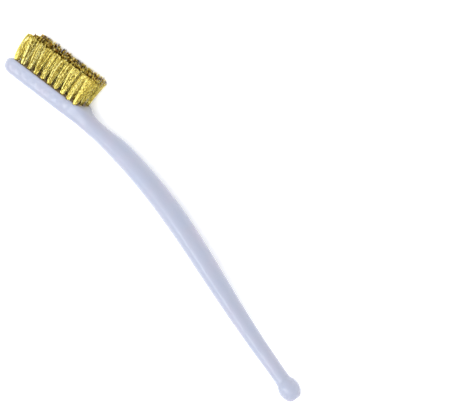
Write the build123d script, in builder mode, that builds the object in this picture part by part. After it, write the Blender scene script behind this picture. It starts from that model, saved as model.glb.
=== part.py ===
from build123d import *
import os
from math import asin, cos, degrees, radians, sin

# Hand brush: a one-piece moulded plastic handle and thirty punched brass-wire tufts.
#
# The brush lies on its side.  X runs from the head's tip to the ball end, Y is the way the
# bristles point, and Z is up, across the head.  The brush is symmetrical about its middle
# plane, a plane of constant Z.  The origin is under the middle of the brush, on the surface
# that it lies on.
#
# Outlines are drawn in brush coordinates: "along" is measured from the first column of tufts
# towards the handle, and "rise" from the head's face towards the bristle tips, so the
# plastic has a negative rise.

# ---------------------------------------------------------------- driving dimensions, mm
COLUMNS = 10                 # tufts along the head
ROWS = {"far": -1, "middle": 0, "near": 1}       # side of the head that each row is on
COLUMN_PITCH = 3.75
ROW_PITCH = 4.55

HEAD_WIDTH = 13.2
HEAD_THICKNESS = 7.0
BLOCK_END = 31.0             # first column to the end of the straight part of the head
TIP_OVERHANG = 5.7           # head tip to the first column of tufts
TIP_CORNER = 6.2             # corner radius of the tip, seen from the bristles
NOSE_START = -1.2            # where the face starts to slope down to the tip
NOSE_DROP = 2.8              # how far it has dropped at the tip
NOSE_BEND = 6.0              # radius of the bend between the face and that slope
BACK_EDGE = 2.8              # rounding along the back of the head
FACE_EDGE = 1.0              # rounding along the face

HOLE_DIAMETER = 2.1
HOLE_DEPTH = 4.2
CUT_CLEARANCE = 0.5          # how far above the face the hole cutter starts

TRIM = 12.0                  # face of the head to the bristle tips
SHANK_DIAMETER = 2.0         # bundle of wires in its hole
SHANK_STRAIGHT = 0.6         # height above the face where the bundle starts to flare
TUFT_TIP_DIAMETER = 2.8
SPLAY_ALONG = 0.30           # outward lean of the end columns at the tips
SPLAY_ACROSS = 0.35          # outward lean of the outer rows at the tips

ANCHOR_LENGTH = 3.0
ANCHOR_HEIGHT = 1.6
ANCHOR_THICKNESS = 0.35
FOLD_HEIGHT = 0.7            # wires folded under the anchor, at the bottom of the hole

# Sections of the shoulder, square to the head: along, rise of the top, rise of the
# underside, width, corner radius at the face, corner radius at the back.  The last two lie
# inside the neck.
SHOULDER_STATIONS = [
    (28.0, -0.25, -6.75, 12.6, 1.0, 2.9),
    (31.5, -0.05, -6.95, 13.0, 1.0, 2.9),
    (33.8, -0.05, -7.00, 12.8, 1.1, 2.9),
    (35.4, -0.08, -7.15, 11.8, 1.4, 3.0),
    (37.0, -0.28, -7.50, 10.3, 1.9, 3.1),
    (39.0, -0.75, -7.95, 9.0, 2.5, 3.3),
    (42.0, -1.35, -8.35, 8.0, 3.1, 3.3),
    (46.0, -1.90, -8.40, 7.2, 3.0, 3.0),
]

# Oval sections of the handle, square to its centre line: along, rise, thickness, width.
HANDLE_STATIONS = [
    (34.0, -4.0, 5.2, 6.6),          # inside the shoulder
    (43.0, -4.9, 7.15, 8.3),         # neck
    (51.0, -5.4, 7.6, 8.8),
    (57.5, -5.95, 8.35, 9.5),        # start of the grip
    (66.0, -7.2, 8.6, 9.9),
    (78.0, -9.7, 8.75, 10.1),
    (90.0, -12.9, 8.9, 10.2),        # middle of the grip
    (101.0, -16.5, 8.7, 9.9),
    (112.0, -20.5, 8.3, 9.4),
    (123.0, -24.7, 7.7, 8.7),
    (134.0, -28.8, 7.0, 7.9),
    (146.0, -33.0, 6.35, 7.0),
    (158.5, -37.0, 5.8, 6.2),        # thinnest place
    (165.0, -39.1, 5.8, 6.0),        # inside the ball
]
PARTING_CUT = 8.0            # where a half section stops short of its ellipse's end, degrees
BALL_DIAMETER = 8.1
BALL_LENGTH = 10.2
BALL_CENTRE = (167.9, -39.96)
BALL_HOLLOW = 1.8            # hollow between the tail and the ball
GATE_DIAMETER = 4.0          # flat left where the moulding gate was cut off
TAIL_DIAMETER = 5.6          # round tail inside the last stretch of the handle
TAIL_LENGTH = 9.0            # ball centre to the start of the round tail
TAIL_ANGLE = -18.0           # direction of the tail, degrees

# ---------------------------------------------------------------- worked out from them
BALL_RADIUS = BALL_DIAMETER / 2
TAIL_RADIUS = TAIL_DIAMETER / 2
TAIL_RUN = cos(radians(TAIL_ANGLE))
TAIL_FALL = sin(radians(TAIL_ANGLE))
BALL_REACH = ((BALL_LENGTH / 2 * TAIL_RUN) ** 2 + (BALL_RADIUS * TAIL_FALL) ** 2) ** 0.5
BALL_DEPTH = ((BALL_LENGTH / 2 * TAIL_FALL) ** 2 + (BALL_RADIUS * TAIL_RUN) ** 2) ** 0.5
MIDDLE_ALONG = (BALL_CENTRE[0] + BALL_REACH - TIP_OVERHANG) / 2
MIDDLE_RISE = (BALL_CENTRE[1] - BALL_DEPTH + TRIM) / 2
LAST_COLUMN = (COLUMNS - 1) * COLUMN_PITCH
BRUSH_ORIGIN = (-MIDDLE_ALONG, -MIDDLE_RISE, HEAD_WIDTH / 2)

# The middle plane, and the head's face: there local y is up, and depth is positive.
SIDE = Plane(origin=BRUSH_ORIGIN, z_dir=(0, 0, 1))
FACE = Plane(origin=BRUSH_ORIGIN, x_dir=(1, 0, 0), z_dir=(0, -1, 0))

TUFT_SPOTS = {
    f"{row}_{column + 1:02d}": (column, side)
    for row, side in ROWS.items()
    for column in range(COLUMNS)
}


def tuft_base(column, side):
    """Where a tuft stands on the head's face: along, across."""
    return column * COLUMN_PITCH, side * ROW_PITCH


def tuft_tip(column, side):
    """Middle of a tuft's tips, splayed outwards from the middle of the field."""
    along, across = tuft_base(column, side)
    from_middle = (along - LAST_COLUMN / 2) / (LAST_COLUMN / 2)
    return along + SPLAY_ALONG * from_middle, across + SPLAY_ACROSS * side


def across_plane(along, rise, angle):
    """Plane square to the handle where it runs at this angle, with local y towards the bristles."""
    direction = (cos(radians(angle)), sin(radians(angle)), 0)
    return Plane(origin=SIDE.from_local_coords((along, rise, 0)), x_dir=(0, 0, -1), z_dir=direction)


# ---------------------------------------------------------------- handle
with BuildLine() as centre:
    centre_line = Spline(*[(along, rise) for along, rise, _, _ in HANDLE_STATIONS])

with BuildPart() as handle:
    # The head: its side view, with the sloping nose, cut to its outline from the bristles.
    with BuildSketch(SIDE) as head_side:
        with BuildLine():
            Polyline(
                (BLOCK_END, 0),
                (NOSE_START, 0),
                (-TIP_OVERHANG, -NOSE_DROP),
                (-TIP_OVERHANG, -HEAD_THICKNESS),
                (BLOCK_END, -HEAD_THICKNESS),
                close=True,
            )
        make_face()
        fillet(head_side.vertices().sort_by_distance((NOSE_START, 0))[0], radius=NOSE_BEND)
    extrude(amount=HEAD_WIDTH / 2, both=True)
    with BuildSketch(FACE) as head_plan:
        with Locations((-TIP_OVERHANG, 0)):
            Rectangle(TIP_OVERHANG + BLOCK_END, HEAD_WIDTH, align=(Align.MIN, Align.CENTER))
        fillet(head_plan.vertices().group_by(Axis.X)[0], radius=TIP_CORNER)
    extrude(amount=HEAD_THICKNESS, mode=Mode.INTERSECT)
    back_rim = handle.faces().sort_by(Axis.Y)[0].edges().sort_by(Axis.X)[:-1]
    fillet(back_rim, radius=BACK_EDGE)
    face_edges = handle.faces().filter_by(lambda face: face.normal_at().Y > 0.5).edges()
    tip_edge = face_edges.filter_by(Axis.Z).sort_by(Axis.X)[:1]
    fillet(face_edges.filter_by(Axis.Z, reverse=True) + tip_edge, radius=FACE_EDGE)

    # The shoulder, from the full head to inside the neck.
    for along, top, underside, width, face_corner, back_corner in SHOULDER_STATIONS:
        with BuildSketch(across_plane(along, (top + underside) / 2, 0)) as section:
            Rectangle(width, top - underside)
            fillet(section.vertices().group_by(Axis.Y)[-1], radius=face_corner)
            fillet(section.vertices().group_by(Axis.Y)[0], radius=back_corner)
    loft()

    # Neck, grip and tail.  An oval is two arcs of ellipses, cut a little short, so that they
    # meet in a slight edge at each side: the parting line of the mould.
    half_turn = 180 - 2 * PARTING_CUT
    cut = radians(PARTING_CUT)
    for along, rise, thickness, width in HANDLE_STATIONS:
        direction = centre_line % centre_line.param_at_point((along, rise))
        reach = width / 2 / cos(cut)
        height = thickness / 2 / (1 - sin(cut))
        drop = height * sin(cut)
        with BuildSketch(across_plane(along, rise, degrees(asin(direction.Y)))):
            with BuildLine():
                EllipticalCenterArc((0, -drop), reach, height, PARTING_CUT, arc_size=half_turn)
                EllipticalCenterArc((0, drop), reach, height, 180 + PARTING_CUT, arc_size=half_turn)
            make_face()
    loft()

    # The ball, with the hollow that leads into it, turned about the tail's own line.
    tail_line = Plane(
        origin=SIDE.from_local_coords((*BALL_CENTRE, 0)),
        x_dir=(TAIL_RUN, TAIL_FALL, 0),
        z_dir=(0, 0, 1),
    )
    meets_tail = BALL_LENGTH / 2 * (1 - (TAIL_RADIUS / BALL_RADIUS) ** 2) ** 0.5
    gate_along = BALL_LENGTH / 2 * (1 - (GATE_DIAMETER / BALL_DIAMETER) ** 2) ** 0.5
    with BuildSketch(tail_line) as ball_profile:
        with BuildLine():
            EllipticalCenterArc((0, 0), BALL_LENGTH / 2, BALL_RADIUS, 0, arc_size=180)
            Line((-BALL_LENGTH / 2, 0), (BALL_LENGTH / 2, 0))
        make_face()
        Rectangle(TAIL_LENGTH, TAIL_RADIUS, align=(Align.MAX, Align.MIN))
        fillet(ball_profile.vertices().sort_by_distance((-meets_tail, TAIL_RADIUS))[0], radius=BALL_HOLLOW)
        with Locations((gate_along, 0)):
            Rectangle(BALL_LENGTH, BALL_DIAMETER, align=(Align.MIN, Align.CENTER), mode=Mode.SUBTRACT)
    revolve(axis=Axis(tail_line.origin, tail_line.x_dir))

    # Blind holes for the tufts, with the slits that the anchors bite into the plastic.
    holes = [tuft_base(column, side) for column, side in TUFT_SPOTS.values()]
    with BuildSketch(FACE.offset(-CUT_CLEARANCE)):
        with Locations(*holes):
            Circle(HOLE_DIAMETER / 2)
    extrude(amount=CUT_CLEARANCE + HOLE_DEPTH, mode=Mode.SUBTRACT)
    with BuildSketch(FACE.offset(HOLE_DEPTH - FOLD_HEIGHT - ANCHOR_HEIGHT)):
        with Locations(*holes):
            Rectangle(ANCHOR_LENGTH, ANCHOR_THICKNESS)
    extrude(amount=ANCHOR_HEIGHT, mode=Mode.SUBTRACT)

# ---------------------------------------------------------------- tufts
tufts = {}
for spot, (column, side) in TUFT_SPOTS.items():
    with BuildPart() as tuft:
        base = tuft_base(column, side)
        with BuildSketch(FACE.offset(HOLE_DEPTH)):
            with Locations(base):
                Circle(SHANK_DIAMETER / 2)
        extrude(amount=-HOLE_DEPTH - SHANK_STRAIGHT)
        with BuildSketch(FACE.offset(-SHANK_STRAIGHT)):
            with Locations(base):
                Circle(SHANK_DIAMETER / 2)
        with BuildSketch(FACE.offset(-TRIM)):
            with Locations(tuft_tip(column, side)):
                Circle(TUFT_TIP_DIAMETER / 2)
        loft(ruled=True)
        with BuildSketch(FACE.offset(HOLE_DEPTH - FOLD_HEIGHT - ANCHOR_HEIGHT)):
            with Locations(base):
                Rectangle(ANCHOR_LENGTH, ANCHOR_THICKNESS)
        extrude(amount=ANCHOR_HEIGHT, mode=Mode.SUBTRACT)
    tufts[spot] = tuft

# ---------------------------------------------------------------- anchors, one node for each row
anchors = {}
for row, side in ROWS.items():
    with BuildPart() as row_anchors:
        with BuildSketch(FACE.offset(HOLE_DEPTH - FOLD_HEIGHT - ANCHOR_HEIGHT)):
            with Locations(*[tuft_base(column, side) for column in range(COLUMNS)]):
                Rectangle(ANCHOR_LENGTH, ANCHOR_THICKNESS)
        extrude(amount=ANCHOR_HEIGHT)
    anchors[row] = row_anchors

# ---------------------------------------------------------------- files
os.makedirs("parts", exist_ok=True)
handle.part.label = "handle"
export_step(handle.part, "parts/handle.step")
for spot, tuft in tufts.items():
    tuft.part.label = f"tuft_{spot}"
    export_step(tuft.part, f"parts/tuft_{spot}.step")
for row, row_anchors in anchors.items():
    row_anchors.part.label = f"anchors_{row}_row"
    export_step(row_anchors.part, f"parts/anchors_{row}_row.step")
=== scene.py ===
"""Looks of the club groove brush: a milky moulded handle and thirty tufts of crimped brass wire.

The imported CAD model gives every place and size.  The handle is rebuilt from its CAD node as one
soft-edged moulding, and each CAD tuft is replaced by a bundle of wires, folded in half under
its anchor as on the real brush.  X runs from the head's tip to the ball, Y is the way the
bristles point and Z is up.
"""

import math

import bpy
import numpy as np
from mathutils import Matrix, Vector


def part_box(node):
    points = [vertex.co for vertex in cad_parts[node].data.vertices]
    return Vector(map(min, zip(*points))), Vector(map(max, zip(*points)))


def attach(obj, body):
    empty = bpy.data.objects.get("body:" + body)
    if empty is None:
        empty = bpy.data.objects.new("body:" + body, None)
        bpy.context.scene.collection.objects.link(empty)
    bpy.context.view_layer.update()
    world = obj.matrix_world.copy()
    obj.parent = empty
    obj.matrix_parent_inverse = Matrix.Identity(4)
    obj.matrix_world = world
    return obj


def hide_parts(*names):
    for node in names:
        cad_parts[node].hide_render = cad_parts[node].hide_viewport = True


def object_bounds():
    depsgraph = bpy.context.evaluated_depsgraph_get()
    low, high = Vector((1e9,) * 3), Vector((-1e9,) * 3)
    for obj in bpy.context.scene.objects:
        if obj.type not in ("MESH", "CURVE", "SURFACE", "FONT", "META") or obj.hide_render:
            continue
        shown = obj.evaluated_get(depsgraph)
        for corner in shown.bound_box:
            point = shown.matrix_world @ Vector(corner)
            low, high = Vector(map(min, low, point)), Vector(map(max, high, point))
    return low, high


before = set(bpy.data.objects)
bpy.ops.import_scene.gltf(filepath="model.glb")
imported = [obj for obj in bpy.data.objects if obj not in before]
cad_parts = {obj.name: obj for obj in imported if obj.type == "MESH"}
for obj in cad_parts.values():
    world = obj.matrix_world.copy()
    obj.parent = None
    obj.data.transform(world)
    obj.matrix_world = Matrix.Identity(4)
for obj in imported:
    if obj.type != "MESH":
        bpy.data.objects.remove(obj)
cad_low, cad_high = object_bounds()

MM = 0.001

# ---------------------------------------------------------------- what the frame says
COLUMNS = 10
ROWS = ("far", "middle", "near")
HANDLE_LOW, HANDLE_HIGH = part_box("handle")
FACE_Y = HANDLE_HIGH.y
HEAD_SIDE_Z = HANDLE_HIGH.z
MIDDLE_Z = (HANDLE_LOW.z + HANDLE_HIGH.z) / 2
SECOND_LOW, SECOND_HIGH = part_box("tuft_near_02")
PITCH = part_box("tuft_near_03")[0].x - SECOND_LOW.x
FIRST_X = (SECOND_LOW.x + SECOND_HIGH.x) / 2 - PITCH         # middle of the first tufts' holes
LAST_X = FIRST_X + (COLUMNS - 1) * PITCH


def vertex_array(mesh):
    """The mesh's vertices as rows of x, y, z."""
    points = np.empty(len(mesh.vertices) * 3, np.float32)
    mesh.vertices.foreach_get("co", points)
    return points.reshape(-1, 3).astype(float)


def ring_at(node, height):
    """Centre (x, z) and radius of a CAD tuft's ring of vertices at this height."""
    points = vertex_array(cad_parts[node].data)
    ring = points[np.abs(points[:, 1] - height) < 0.05 * MM]
    low, high = ring.min(axis=0), ring.max(axis=0)
    return (low + high)[[0, 2]] / 2, (high - low)[0] / 2


# ---------------------------------------------------------------- camera
CAMERA_AIM = Vector((FIRST_X + 110.04 * MM, FACE_Y + 5.2 * MM, MIDDLE_Z))
CAMERA_DISTANCE = 360 * MM
CAMERA_AZIMUTH = math.radians(132.0)
CAMERA_ELEVATION = math.radians(66.24)
CAMERA_ROLL = math.radians(-97.7)
CAMERA_LENS = 73.9


def make_camera():
    """A camera that looks down on the side of the brush, rolled so that the brush lies diagonally."""
    level = math.cos(CAMERA_ELEVATION)
    back = Vector((
        math.sin(CAMERA_AZIMUTH) * level,
        -math.cos(CAMERA_AZIMUTH) * level,
        math.sin(CAMERA_ELEVATION),
    ))
    data = bpy.data.cameras.new("camera")
    data.sensor_width = 36
    data.lens = CAMERA_LENS
    data.clip_start = 0.01
    camera = bpy.data.objects.new("camera", data)
    bpy.context.collection.objects.link(camera)
    turn = (-back).to_track_quat("-Z", "Y").to_matrix() @ Matrix.Rotation(CAMERA_ROLL, 3, "Z")
    camera.matrix_world = Matrix.Translation(CAMERA_AIM + back * CAMERA_DISTANCE) @ turn.to_4x4()
    bpy.context.scene.camera = camera


# ---------------------------------------------------------------- materials
def new_material(name):
    """A material with its Principled shader, and a function that adds a node to it."""
    material = bpy.data.materials.new(name)
    material.use_nodes = True
    tree = material.node_tree

    def add(kind, **values):
        node = tree.nodes.new(kind)
        for key, value in values.items():
            if key in node.inputs:
                node.inputs[key].default_value = value
            else:
                setattr(node, key, value)
        return node

    return material, tree.nodes["Principled BSDF"], tree.links.new, add


def ramp_between(add, *stops):
    """A colour ramp through (place, (r, g, b)) stops."""
    ramp = add("ShaderNodeValToRGB")
    elements = ramp.color_ramp.elements
    while len(elements) < len(stops):
        elements.new(0.5)
    for element, (place, colour) in zip(elements, stops):
        element.position = place
        element.color = (*colour, 1)
    return ramp


def range_map(add, low, high, to_low=0.0, to_high=1.0, **values):
    """A node that turns low to high into to_low to to_high."""
    ends = {"From Min": low, "From Max": high, "To Min": to_low, "To Max": to_high}
    return add("ShaderNodeMapRange", **ends, **values)


FACE_DIRT_AND_SHADE = (0.75, 0.50, 0.24)           # tint of the dirt on the face between the tufts, with painted shade and painted brass reflection in it
FACE_SHADE_DEPTH = (0.30 * MM, 0.05 * MM)         # below the face, where it starts and where it is full
FACE_SHADE_REACH = (1.8 * MM, 1.0 * MM)           # the same behind the middle of the last tufts


def milky_plastic():
    """Translucent lavender-white plastic, a little cloudy, with a soft gloss, and dirt with painted shade
    and painted brass reflection on the face between the tufts.
    """
    material, shader, link, add = new_material("milky_plastic")
    place = add("ShaderNodeTexCoord")
    clouds = add("ShaderNodeTexNoise", Scale=90, Detail=3, Roughness=0.55)
    tint = ramp_between(
        add,
        (0.30, (0.333, 0.360, 0.450)),
        (0.50, (0.342, 0.360, 0.442)),
        (0.70, (0.364, 0.360, 0.442)),
    )
    link(place.outputs["Object"], clouds.inputs["Vector"])
    link(clouds.outputs["Fac"], tint.inputs["Fac"])

    parts = add("ShaderNodeSeparateXYZ")
    link(place.outputs["Object"], parts.inputs["Vector"])
    on_face = range_map(add, FACE_Y - FACE_SHADE_DEPTH[0], FACE_Y - FACE_SHADE_DEPTH[1])
    link(parts.outputs["Y"], on_face.inputs["Value"])
    by_tufts = range_map(add, LAST_X + FACE_SHADE_REACH[0], LAST_X + FACE_SHADE_REACH[1])
    link(parts.outputs["X"], by_tufts.inputs["Value"])
    # Dirt, painted shade and painted brass reflection: the face between the tufts is darkened and warmed.
    dirt_and_shade = add("ShaderNodeMath", operation="MULTIPLY")
    link(on_face.outputs["Result"], dirt_and_shade.inputs[0])
    link(by_tufts.outputs["Result"], dirt_and_shade.inputs[1])
    dirt_and_shade_tint = add("ShaderNodeMix", data_type="RGBA", blend_type="MULTIPLY", B=(*FACE_DIRT_AND_SHADE, 1))
    link(dirt_and_shade.outputs["Value"], dirt_and_shade_tint.inputs["Factor"])
    link(tint.outputs["Color"], dirt_and_shade_tint.inputs["A"])
    link(dirt_and_shade_tint.outputs["Result"], shader.inputs["Base Color"])

    streaks = add("ShaderNodeTexNoise", Scale=260, Detail=4, Roughness=0.6)
    link(place.outputs["Object"], streaks.inputs["Vector"])
    gloss = range_map(add, 0.3, 0.7, 0.15, 0.24)
    link(streaks.outputs["Fac"], gloss.inputs["Value"])
    link(gloss.outputs["Result"], shader.inputs["Roughness"])

    grain = add("ShaderNodeTexNoise", Scale=1400, Detail=3, Roughness=0.5)
    bump = add("ShaderNodeBump", Strength=0.10, Distance=0.02 * MM)
    link(place.outputs["Object"], grain.inputs["Vector"])
    link(grain.outputs["Fac"], bump.inputs["Height"])
    link(bump.outputs["Normal"], shader.inputs["Normal"])

    shader.inputs["Subsurface Weight"].default_value = 0.45
    shader.inputs["Subsurface Radius"].default_value = (1.0, 1.0, 1.2)
    shader.inputs["Subsurface Scale"].default_value = 1.6 * MM
    shader.inputs["IOR"].default_value = 1.49
    return material


def brass_wire():
    """Drawn brass: each wire has its own tone and stains, and its end is painted dark as shade on some
    wires, reddish with tarnish on others, and left bright on the rest.
    """
    material, shader, link, add = new_material("brass_wire")
    tone = add("ShaderNodeAttribute", attribute_name="wire_tone")
    colour = ramp_between(
        add,
        (0.00, (0.14, 0.10, 0.02)),
        (0.25, (0.40, 0.31, 0.06)),
        (0.42, (0.82, 0.69, 0.17)),
        (0.70, (0.98, 0.87, 0.25)),
        (1.00, (1.00, 0.99, 0.52)),
    )
    link(tone.outputs["Fac"], colour.inputs["Fac"])

    end = add("ShaderNodeAttribute", attribute_name="wire_end")
    place = add("ShaderNodeTexCoord")
    clumps = add("ShaderNodeTexNoise", Scale=650, Detail=1, Roughness=0.5)
    link(place.outputs["Object"], clumps.inputs["Vector"])
    clump = range_map(add, 0.40, 0.60)
    link(clumps.outputs["Fac"], clump.inputs["Value"])
    end_tone = add("ShaderNodeMix", data_type="FLOAT", Factor=0.3)
    link(clump.outputs["Result"], end_tone.inputs["A"])
    link(end.outputs["Fac"], end_tone.inputs["B"])
    # Painted shade on the wires' ends: some are near black, some reddish with tarnish, the rest keep the
    # brass colour.
    end_shade_and_tarnish = ramp_between(
        add,
        (0.00, (0.03, 0.015, 0.006)),
        (0.32, (0.05, 0.018, 0.006)),
        (0.39, (0.95, 0.38, 0.15)),
        (0.46, (1.00, 0.92, 0.75)),
        (1.00, (1.00, 1.00, 1.00)),
    )
    link(end_tone.outputs["Result"], end_shade_and_tarnish.inputs["Fac"])
    reach = add("ShaderNodeAttribute", attribute_name="wire_reach")
    near_tip = range_map(add, 0.84, 0.93, interpolation_type="SMOOTHSTEP")
    link(reach.outputs["Fac"], near_tip.inputs["Value"])
    mix = add("ShaderNodeMix", data_type="RGBA", blend_type="MULTIPLY")
    link(near_tip.outputs["Result"], mix.inputs["Factor"])
    link(colour.outputs["Color"], mix.inputs["A"])
    link(end_shade_and_tarnish.outputs["Color"], mix.inputs["B"])
    metal = range_map(add, 0.0, 1.0, 1.0, 0.95)
    link(near_tip.outputs["Result"], metal.inputs["Value"])
    link(metal.outputs["Result"], shader.inputs["Metallic"])

    along_wires = add("ShaderNodeMapping", Scale=(1, 0.3, 1))
    link(place.outputs["Object"], along_wires.inputs["Vector"])
    stains = add("ShaderNodeTexNoise", Scale=1700, Detail=2, Roughness=0.6)
    link(along_wires.outputs["Vector"], stains.inputs["Vector"])
    tarnish = ramp_between(
        add,
        (0.38, (0.50, 0.45, 0.30)),
        (0.47, (0.86, 0.84, 0.75)),
        (0.54, (1.00, 1.00, 1.00)),
    )
    link(stains.outputs["Fac"], tarnish.inputs["Fac"])
    worn = add("ShaderNodeMix", data_type="RGBA", blend_type="MULTIPLY", Factor=1.0)
    link(mix.outputs["Result"], worn.inputs["A"])
    link(tarnish.outputs["Color"], worn.inputs["B"])
    link(worn.outputs["Result"], shader.inputs["Base Color"])

    gloss = range_map(add, 0.3, 0.7, 0.15, 0.32)
    link(stains.outputs["Fac"], gloss.inputs["Value"])
    link(gloss.outputs["Result"], shader.inputs["Roughness"])
    shader.inputs["Specular Tint"].default_value = (0.75, 0.50, 0.22, 1)
    return material


def pale_floor():
    """Matt white floor that glows a little, so that the shadow stays pale."""
    material, shader, _, _ = new_material("pale_floor")
    shader.inputs["Base Color"].default_value = (0.95, 0.945, 0.93, 1)
    shader.inputs["Roughness"].default_value = 0.9
    shader.inputs["Specular IOR Level"].default_value = 0.1
    shader.inputs["Emission Color"].default_value = (1, 1, 1, 1)
    shader.inputs["Emission Strength"].default_value = 0.2
    return material


# ---------------------------------------------------------------- handle
VOXEL = 0.30 * MM
SMOOTH_ROUNDS = 6
NECK = (36.5 * MM, 54 * MM)          # where the neck is eased more, from the first tufts
NECK_EASE = 3 * MM
NECK_ROUNDS = 60
JOIN = 27 * MM                       # where the head's flat sides begin to be eased as well
SIDE_EDGE = (0.8, 0.8 * MM)          # a side of the head starts at this share of the half width
SIDE_END = 4 * MM                    # and fades out this far before the neck
BULGE_HEIGHT = 0.30 * MM             # swelling of the head's sides where anchors are driven in
BULGE_REACH = 1.3 * MM
BULGE_DEPTH = 2.6 * MM               # of the middle of a swelling, below the face
RIDGE_HEIGHT = 0.05 * MM             # parting line along the handle
RIDGE_REACH = 0.26 * MM
RIDGE_START = 44 * MM                # from the first tufts, and how gently it starts
RIDGE_EASE = 6 * MM
RIDGE_SLANT = 0.96                   # cosine of the handle's slope, near enough
RIDGE_FIT_FROM = 46                  # mm from the first tufts, where its fitted curve starts
RIDGE_FIT_BAND = 0.46                # share of the thickness, past which a point is on the side
RIDGE_FIT_DEGREE = 7
SWELLING_SEED = 3


def handle_piece(material):
    """The CAD handle as one even mesh, its edges and its neck eased as a mould leaves them."""
    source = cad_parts["handle"]
    copy = bpy.data.objects.new("handle_copy", source.data.copy())
    bpy.context.collection.objects.link(copy)
    weld = copy.modifiers.new("weld", "WELD")
    weld.merge_threshold = 0.001 * MM
    voxels = copy.modifiers.new("voxels", "REMESH")
    voxels.mode = "VOXEL"
    voxels.voxel_size = VOXEL
    evaluated = copy.evaluated_get(bpy.context.evaluated_depsgraph_get())
    mesh = bpy.data.meshes.new_from_object(evaluated)
    bpy.data.objects.remove(copy)

    points = vertex_array(mesh)
    edges = np.empty(len(mesh.edges) * 2, np.int32)
    mesh.edges.foreach_get("vertices", edges)
    edges = edges.reshape(-1, 2)
    points = smoothed(points, edges, np.ones(len(points)), SMOOTH_ROUNDS)
    along = points[:, 0] - FIRST_X
    neck = smooth_step((along - NECK[0]) / NECK_EASE) * smooth_step((NECK[1] - along) / NECK_EASE)
    points = smoothed(points, edges, neck, NECK_ROUNDS)
    for side in (1, -1):
        join = on_head_side(points, along, side) * smooth_step((along - JOIN) / NECK_EASE)
        points = smoothed(points, edges, join, NECK_ROUNDS)
    add_swellings(points, along)
    add_ridge(points, along)
    mesh.vertices.foreach_set("co", points.astype(np.float32).ravel())
    mesh.materials.clear()
    mesh.materials.append(material)
    mesh.polygons.foreach_set("use_smooth", np.ones(len(mesh.polygons), bool))
    mesh.update()
    piece = bpy.data.objects.new("moulded_handle", mesh)
    bpy.context.collection.objects.link(piece)
    return piece


def smooth_step(value):
    """Zero below 0, one above 1 and an even curve between."""
    value = np.clip(value, 0, 1)
    return value * value * (3 - 2 * value)


def add_swellings(points, along):
    """Faint uneven swellings in both sides of the head, one beside each column of tufts.

    They stand out of the upper side.  The lower side is on the floor, so it sinks between them.
    """
    heights = np.random.default_rng(SWELLING_SEED).uniform(0.5, 1.0, (2, COLUMNS)) * BULGE_HEIGHT
    for side, side_heights in zip((1, -1), heights):
        swell = np.zeros(len(points))
        for column, height in enumerate(side_heights):
            from_middle = np.hypot(along - column * PITCH, points[:, 1] - FACE_Y + BULGE_DEPTH)
            swell = np.maximum(swell, height * np.exp(-(from_middle / BULGE_REACH) ** 2))
        if side < 0:
            swell -= BULGE_HEIGHT
        points[:, 2] += side * on_head_side(points, along, side) * swell


def on_head_side(points, along, side):
    """One on a side of the head, falling to zero at its rounded edges and at the neck."""
    outward = side * (points[:, 2] - MIDDLE_Z)
    flat = smooth_step((outward - (HEAD_SIDE_Z - MIDDLE_Z) * SIDE_EDGE[0]) / SIDE_EDGE[1])
    return flat * smooth_step((NECK[0] - along) / SIDE_END)


def add_ridge(points, along):
    """The parting line: a fine low ridge along both sides of the grip, the tail and the ball."""
    bins = np.round(along / MM).astype(int)
    places, middles = [], []
    for place in range(RIDGE_FIT_FROM, bins.max()):
        ring = points[bins == place]
        widest = ring[np.abs(ring[:, 2] - MIDDLE_Z) > np.ptp(ring[:, 2]) * RIDGE_FIT_BAND]
        places.append(place)
        middles.append((widest[:, 1].min() + widest[:, 1].max()) / 2)
    curve = np.polynomial.Polynomial.fit(places, middles, RIDGE_FIT_DEGREE)
    past_neck = smooth_step((along - RIDGE_START) / RIDGE_EASE)
    apart = (points[:, 1] - curve(along / MM)) * RIDGE_SLANT
    ridge = RIDGE_HEIGHT * np.exp(-(apart / RIDGE_REACH) ** 2) * past_neck
    points[:, 2] += np.sign(points[:, 2] - MIDDLE_Z) * ridge


def smoothed(points, edges, weight, rounds):
    """Each point moved half of its weight towards the middle of its neighbours, several times."""
    first, second = edges[:, 0], edges[:, 1]
    count = np.bincount(edges.ravel(), minlength=len(points))
    for _ in range(rounds):
        middle = np.empty_like(points)
        for axis in range(3):
            total = np.bincount(first, points[second, axis], len(points))
            total += np.bincount(second, points[first, axis], len(points))
            middle[:, axis] = total / count
        points = points + (middle - points) * (0.5 * weight[:, None])
    return points


# ---------------------------------------------------------------- brass wires
WIRE_SEED = 7
WIRE_RADIUS = 0.105 * MM
WIRE_SIDES = 6
BURR = 1.55                  # width of a cut end, times the wire's
HOLE_PLACES = 66             # even places in a hole: 23 lie on one side of the anchor, for 23 folded wires
LEG_STEPS = 30               # points from the face to the tip
HOLE_STEPS = 3               # points down the hole
FOLD_STEPS = 5               # points round the fold
FOLD_DROP = (0.35, 0.6)      # shares of the room under the anchor: every fold's, and more further out
CRIMP_PITCH = 1.7 * MM
CRIMP_PITCH_RANGE = 0.15
CRIMP_SWING = 0.11 * MM
CRIMP_SWING_RANGE = 0.3
TIP_SPREAD = 1.75 * MM       # radius of a tuft at its tips
TIP_SPREAD_RANGE = 0.12
PLACE_WANDER = 0.02 * MM     # how far wires stray from their even places in the hole
MIDDLE_WANDER = 0.10 * MM    # from a straight way up
WANDER = 0.20 * MM           # and from an even spread at the tips
LOCKS = 7                    # clumps that the wires of a tuft gather into towards their tips
LOCK_PULL = 0.25             # share of the way to the clump's middle
LOCK_TONE = 0.25             # how much of a wire's tone goes by its clump
WIRE_TONE = 0.8              # and how much by chance
# Share of the height at which the tufts of each row stop opening out.
FLARE_TOP = {"near": 0.85, "middle": 0.6, "far": 0.6}
FIRST_BULGE = 1.2 * MM       # how far the first tufts of the two lower rows bulge over the tip
FIRST_SWELL = 0.6 * MM       # and the upper row's first tuft to both sides, all near the face
FIRST_FLARE = (0.5, -0.8)    # the first tufts open out more to the handle, less past the tip
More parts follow.
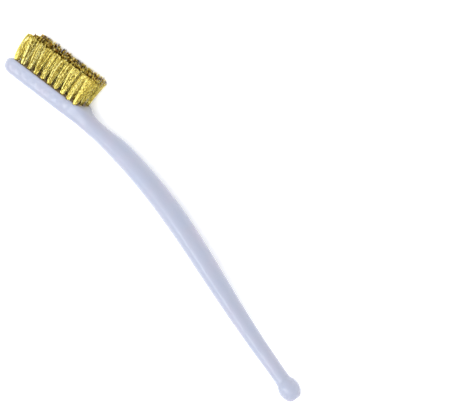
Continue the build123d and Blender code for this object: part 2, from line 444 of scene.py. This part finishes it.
# Lean of each column's tips towards the handle, in mm, in the near row, and how late it bends.
LEANS = (1.3, 0.1, 0.3, 0.9, 1.2, 1.3, 1.3, 1.3, 1.3, 1.0)
LEAN_CURVES = (3, 1, 1, 1.5, 2, 2, 2, 2, 2, 1.5)
# Share of that lean in each row, then the same for the first column and for the last one.
ROW_LEAN = {"near": 1.0, "middle": 0.4, "far": 0.0}
FIRST_LEAN = {"near": 1.0, "middle": 0.85, "far": 0.6}
LAST_LEAN = {"near": 0.6, "middle": -0.1, "far": -0.6}
# Height of the tips over the CAD tufts' tops, in mm, at the first column and at the last one.
ROW_TRIM = {"near": (-0.5, -0.2), "middle": (0.0, 0.0), "far": (0.25, 0.3)}
ROW_TIP_SHADE = {"near": 0.86, "middle": 1.0, "far": 1.0}        # less keeps the painted shade of the ends nearer the tips
ROW_SPREAD = {"near": 0.20 * MM, "middle": 0.32 * MM, "far": 0.38 * MM}      # of the tips' heights
LAST_BOW = 2.1 * MM          # how far the outer wires of the last column splay
LAST_TUCK = 0.12             # share of that by which they are drawn in at the face
LAST_ROUND = 1.0 * MM        # and how much shorter they are
FIRST_TRIM = 0.5 * MM        # the near row's first tuft stands higher than its neighbours
FAR_LEAN = 0.3 * MM          # lean of the far row's tips away from the others


def varied(rng, most):
    """A factor round one, up to this much more or less."""
    return 1 - most + 2 * most * rng.random()


def leg(rng, row, column, base_centre, offset, lock, room, hole_depth, tip_centre, tip_y):
    """One half of a wire, as points from the bottom of its straight part up to its tip."""
    share = np.linspace(0, 1, LEG_STEPS)
    flare = TIP_SPREAD / room * varied(rng, TIP_SPREAD_RANGE)
    opened = share if column == COLUMNS else smooth_step(share / FLARE_TOP[row])
    grown = 1 + (flare - 1) * opened
    path = base_centre + (tip_centre - base_centre) * share[:, None] + offset * grown[:, None]
    path += rng.normal(0, WANDER, 2) * (share ** 1.5)[:, None]
    path += (lock - offset * flare) * LOCK_PULL * (share ** 1.3)[:, None]
    path += rng.normal(0, MIDDLE_WANDER, 2) * np.sin(math.pi * share)[:, None]
    side = offset[0] / room
    if column == 1:
        lean = FIRST_LEAN[row]
        if row == "near":
            tip_y += FIRST_TRIM
            path[:, 0] += FIRST_SWELL * side * np.sin(math.pi * share ** 0.4)
        else:
            path[:, 0] -= FIRST_BULGE * np.sin(math.pi * share ** 0.35)
        path[:, 0] += offset[0] * (grown - 1) * FIRST_FLARE[0 if side > 0 else 1]
    elif column == COLUMNS:
        lean = LAST_LEAN[row]
        outer = max(side, 0)
        path[:, 0] += LAST_BOW * outer * (share ** 2 - LAST_TUCK * (1 - share) ** 2)
        tip_y -= LAST_ROUND * outer ** 2
    else:
        lean = ROW_LEAN[row]
    path[:, 0] += lean * LEANS[column - 1] * MM * share ** LEAN_CURVES[column - 1]
    if row == "far":
        path[:, 1] -= FAR_LEAN * share

    height = FACE_Y + (tip_y - FACE_Y) * share
    pitch = CRIMP_PITCH * varied(rng, CRIMP_PITCH_RANGE)
    swing = CRIMP_SWING * np.clip(share * 6, 0, 1) * varied(rng, CRIMP_SWING_RANGE)
    wave = np.sin((height - FACE_Y) / pitch * math.tau + rng.random() * math.tau) * swing
    turn = rng.random() * math.tau
    path += np.array((math.cos(turn), math.sin(turn))) * wave[:, None]
    path[:, 1] = np.maximum(path[:, 1], HANDLE_LOW.z + WIRE_RADIUS)

    upper = np.column_stack((path[:, 0], height, path[:, 1]))
    depth = np.linspace(hole_depth, 0, HOLE_STEPS + 1)[:-1]
    base = base_centre + offset
    lower = [(base[0], FACE_Y - down, base[1]) for down in depth]
    return np.vstack((lower, upper))


def folded(legs, drop):
    """A whole wire: down one leg, round the fold at the bottom and up the other leg."""
    middle = (legs[0][0] + legs[1][0]) / 2
    half = (legs[1][0] - legs[0][0]) / 2
    turn = np.linspace(0, math.pi, FOLD_STEPS + 2)[1:-1, None]
    fold = middle - half * np.cos(turn) - np.array((0, drop, 0)) * np.sin(turn)
    return np.vstack((legs[0][::-1], fold, legs[1]))


def tube(path, radius, sides):
    """Vertices and side faces of a round tube along the path."""
    along = np.gradient(path, axis=0)
    along /= np.linalg.norm(along, axis=1)[:, None]
    across = np.array((1.0, 0, 0)) - along * along[:, :1]
    across /= np.linalg.norm(across, axis=1)[:, None]
    third = np.cross(along, across)
    turn = np.arange(sides) / sides * math.tau
    ring = across[:, None] * np.cos(turn)[None, :, None] + third[:, None] * np.sin(turn)[None, :, None]
    points = path[:, None] + ring * radius[:, None, None]
    starts = np.arange(len(path) - 1)[:, None] * sides
    here = starts + np.arange(sides)
    beside = starts + (np.arange(sides) + 1) % sides
    quads = np.stack((here, beside, beside + sides, here + sides), axis=-1).reshape(-1, 4)
    return points.reshape(-1, 3), quads


def wire_spots(room, anchor_half):
    """Even places for the wires in the half of the hole on one side of the anchor: x, z."""
    golden = math.pi * (3 - math.sqrt(5))
    spots = []
    for index in range(HOLE_PLACES):
        radius = room * math.sqrt((index + 0.5) / HOLE_PLACES)
        x, z = radius * math.cos(index * golden), radius * math.sin(index * golden)
        if z > anchor_half + WIRE_RADIUS * 0.5:
            spots.append((x, z))
    return spots


def tuft_piece(row, column, material, rng):
    """A tuft: wires folded in half at the bottom of the hole, crimped and cut to one height."""
    node = f"tuft_{row}_{column:02d}"
    low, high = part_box(node)
    base_centre, base_radius = ring_at(node, low.y)
    tip_centre, _ = ring_at(node, high.y)
    anchor_low, anchor_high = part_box(f"anchors_{row}_row")
    room = base_radius - WIRE_RADIUS
    first, last = ROW_TRIM[row]
    trim = high.y + (first + (last - first) * (column - 1) / (COLUMNS - 1)) * MM
    hole_depth = FACE_Y - anchor_low.y
    turns, reach = rng.random(LOCKS) * math.tau, TIP_SPREAD * np.sqrt(rng.random(LOCKS))
    locks = np.column_stack((np.cos(turns) * reach, np.sin(turns) * reach))
    points, quads, caps, tones, ends, reaches = [], [], [], [], [], []
    used = 0
    for x, z in wire_spots(room, (anchor_high.z - anchor_low.z) / 2):
        legs, lock_tones = [], []
        for side in (1, -1):
            offset = np.array((x, side * z)) + rng.normal(0, PLACE_WANDER, 2)
            tip_y = trim + rng.normal(0, ROW_SPREAD[row])
            nearest = np.argmin(np.linalg.norm(locks - offset * TIP_SPREAD / room, axis=1))
            lock_tones.append(nearest / LOCKS)
            way = (base_centre, offset, locks[nearest], room, hole_depth, tip_centre, tip_y)
            legs.append(leg(rng, row, column, *way))
        drop = (anchor_low.y - low.y - WIRE_RADIUS) * (FOLD_DROP[0] + FOLD_DROP[1] * z / room)
        path = folded(legs, drop)
        radius = np.full(len(path), WIRE_RADIUS)
        radius[[0, -1]] *= BURR
        ring_points, ring_quads = tube(path, radius, WIRE_SIDES)
        count = len(ring_points)
        points.append(ring_points)
        quads.append(ring_quads + used)
        first_ring = used + np.arange(WIRE_SIDES)
        caps.append(first_ring[::-1].tolist())
        caps.append((first_ring + count - WIRE_SIDES).tolist())
        first_half = np.arange(count) < count / 2
        tones.append(LOCK_TONE * np.where(first_half, *lock_tones) + WIRE_TONE * rng.random())
        ends.append(np.where(first_half, rng.random(), rng.random()))
        # How far along the wire it is, which places the painted shade of its end.
        share = np.clip((path[:, 1] - FACE_Y) / (trim - FACE_Y), 0, 1) * ROW_TIP_SHADE[row]
        reaches.append(np.repeat(share, WIRE_SIDES))
        used += count
    mesh = bpy.data.meshes.new(f"wires_{row}_{column:02d}")
    mesh.from_pydata(np.vstack(points).tolist(), [], np.vstack(quads).tolist() + caps)
    smooth = np.ones(len(mesh.polygons), bool)
    smooth[-len(caps):] = False
    mesh.polygons.foreach_set("use_smooth", smooth)
    for name, values in (("wire_tone", tones), ("wire_end", ends), ("wire_reach", reaches)):
        attribute = mesh.attributes.new(name, "FLOAT", "POINT")
        attribute.data.foreach_set("value", np.concatenate(values).astype(np.float32))
    mesh.materials.append(material)
    mesh.update()
    piece = bpy.data.objects.new(mesh.name, mesh)
    bpy.context.collection.objects.link(piece)
    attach(piece, "root")
    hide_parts(node)


# ---------------------------------------------------------------- floor and light
FLOOR_HALF = 3.0
FLOOR_GAP = 0.02 * MM
LIGHT_SIDE = (0.0, -0.21, 1.0)
LIGHT_DISTANCE = 0.9
KEY_SIZE = 0.6
KEY_POWER = 3.4
TAIL_GLINT_SIDE = (-0.30, -0.46, 0.83)
HEAD_GLINT_SIDE = (-0.56, -0.37, 0.74)
GLINT_SIZE = 0.13
TAIL_GLINT_POWER = 0.30
HEAD_GLINT_POWER = 0.45
WORLD_STRENGTH = 1.3
WORLD_BELOW = (0.58, 0.56, 0.52)
WORLD_ABOVE = (1.12, 1.15, 1.20)


def make_floor():
    """A pale floor under the brush."""
    mesh = bpy.data.meshes.new("floor")
    corners = [(-FLOOR_HALF, -FLOOR_HALF), (FLOOR_HALF, -FLOOR_HALF)]
    corners += [(FLOOR_HALF, FLOOR_HALF), (-FLOOR_HALF, FLOOR_HALF)]
    mesh.from_pydata([(x, y, cad_low.z - FLOOR_GAP) for x, y in corners], [], [(0, 1, 2, 3)])
    mesh.materials.append(pale_floor())
    floor = bpy.data.objects.new("floor", mesh)
    bpy.context.collection.objects.link(floor)


def add_light(name, direction, size, power):
    """A square soft light that shines at the middle of the brush."""
    data = bpy.data.lights.new(name, "AREA")
    data.size = size
    data.energy = power
    lamp = bpy.data.objects.new(name, data)
    bpy.context.collection.objects.link(lamp)
    towards = Vector(direction).normalized()
    lamp.location = towards * LIGHT_DISTANCE
    lamp.rotation_mode = "QUATERNION"
    lamp.rotation_quaternion = towards.to_track_quat("Z", "Y")


def make_light():
    """Plain soft light, mostly from above, and two small lights that make the plastic glint."""
    world = bpy.data.worlds.new("world")
    world.use_nodes = True
    nodes, link = world.node_tree.nodes, world.node_tree.links.new
    way = nodes.new("ShaderNodeTexCoord")
    facing = nodes.new("ShaderNodeVectorMath")
    facing.operation = "DOT_PRODUCT"
    facing.inputs[1].default_value = Vector(LIGHT_SIDE).normalized()
    shade = nodes.new("ShaderNodeMapRange")
    shade.inputs["From Min"].default_value = -0.4
    shade.inputs["From Max"].default_value = 1.0
    glow = nodes.new("ShaderNodeValToRGB")
    glow.color_ramp.elements[0].color = (*WORLD_BELOW, 1)
    glow.color_ramp.elements[1].color = (*WORLD_ABOVE, 1)
    link(way.outputs["Generated"], facing.inputs[0])
    link(facing.outputs["Value"], shade.inputs["Value"])
    link(shade.outputs["Result"], glow.inputs["Fac"])
    link(glow.outputs["Color"], nodes["Background"].inputs["Color"])
    nodes["Background"].inputs["Strength"].default_value = WORLD_STRENGTH
    bpy.context.scene.world = world
    add_light("key", LIGHT_SIDE, KEY_SIZE, KEY_POWER)
    add_light("tail_glint", TAIL_GLINT_SIDE, GLINT_SIZE, TAIL_GLINT_POWER)
    add_light("head_glint", HEAD_GLINT_SIDE, GLINT_SIZE, HEAD_GLINT_POWER)
    bpy.context.scene.view_settings.view_transform = "Standard"


# ---------------------------------------------------------------- the brush
make_camera()
make_floor()
make_light()

plastic = milky_plastic()
brass = brass_wire()

handle = handle_piece(plastic)
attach(handle, "root")
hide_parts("handle")

rng = np.random.default_rng(WIRE_SEED)
for row in ROWS:
    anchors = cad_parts[f"anchors_{row}_row"]
    anchors.data.materials.clear()
    anchors.data.materials.append(brass)
    for column in range(1, COLUMNS + 1):
        tuft_piece(row, column, brass, rng)
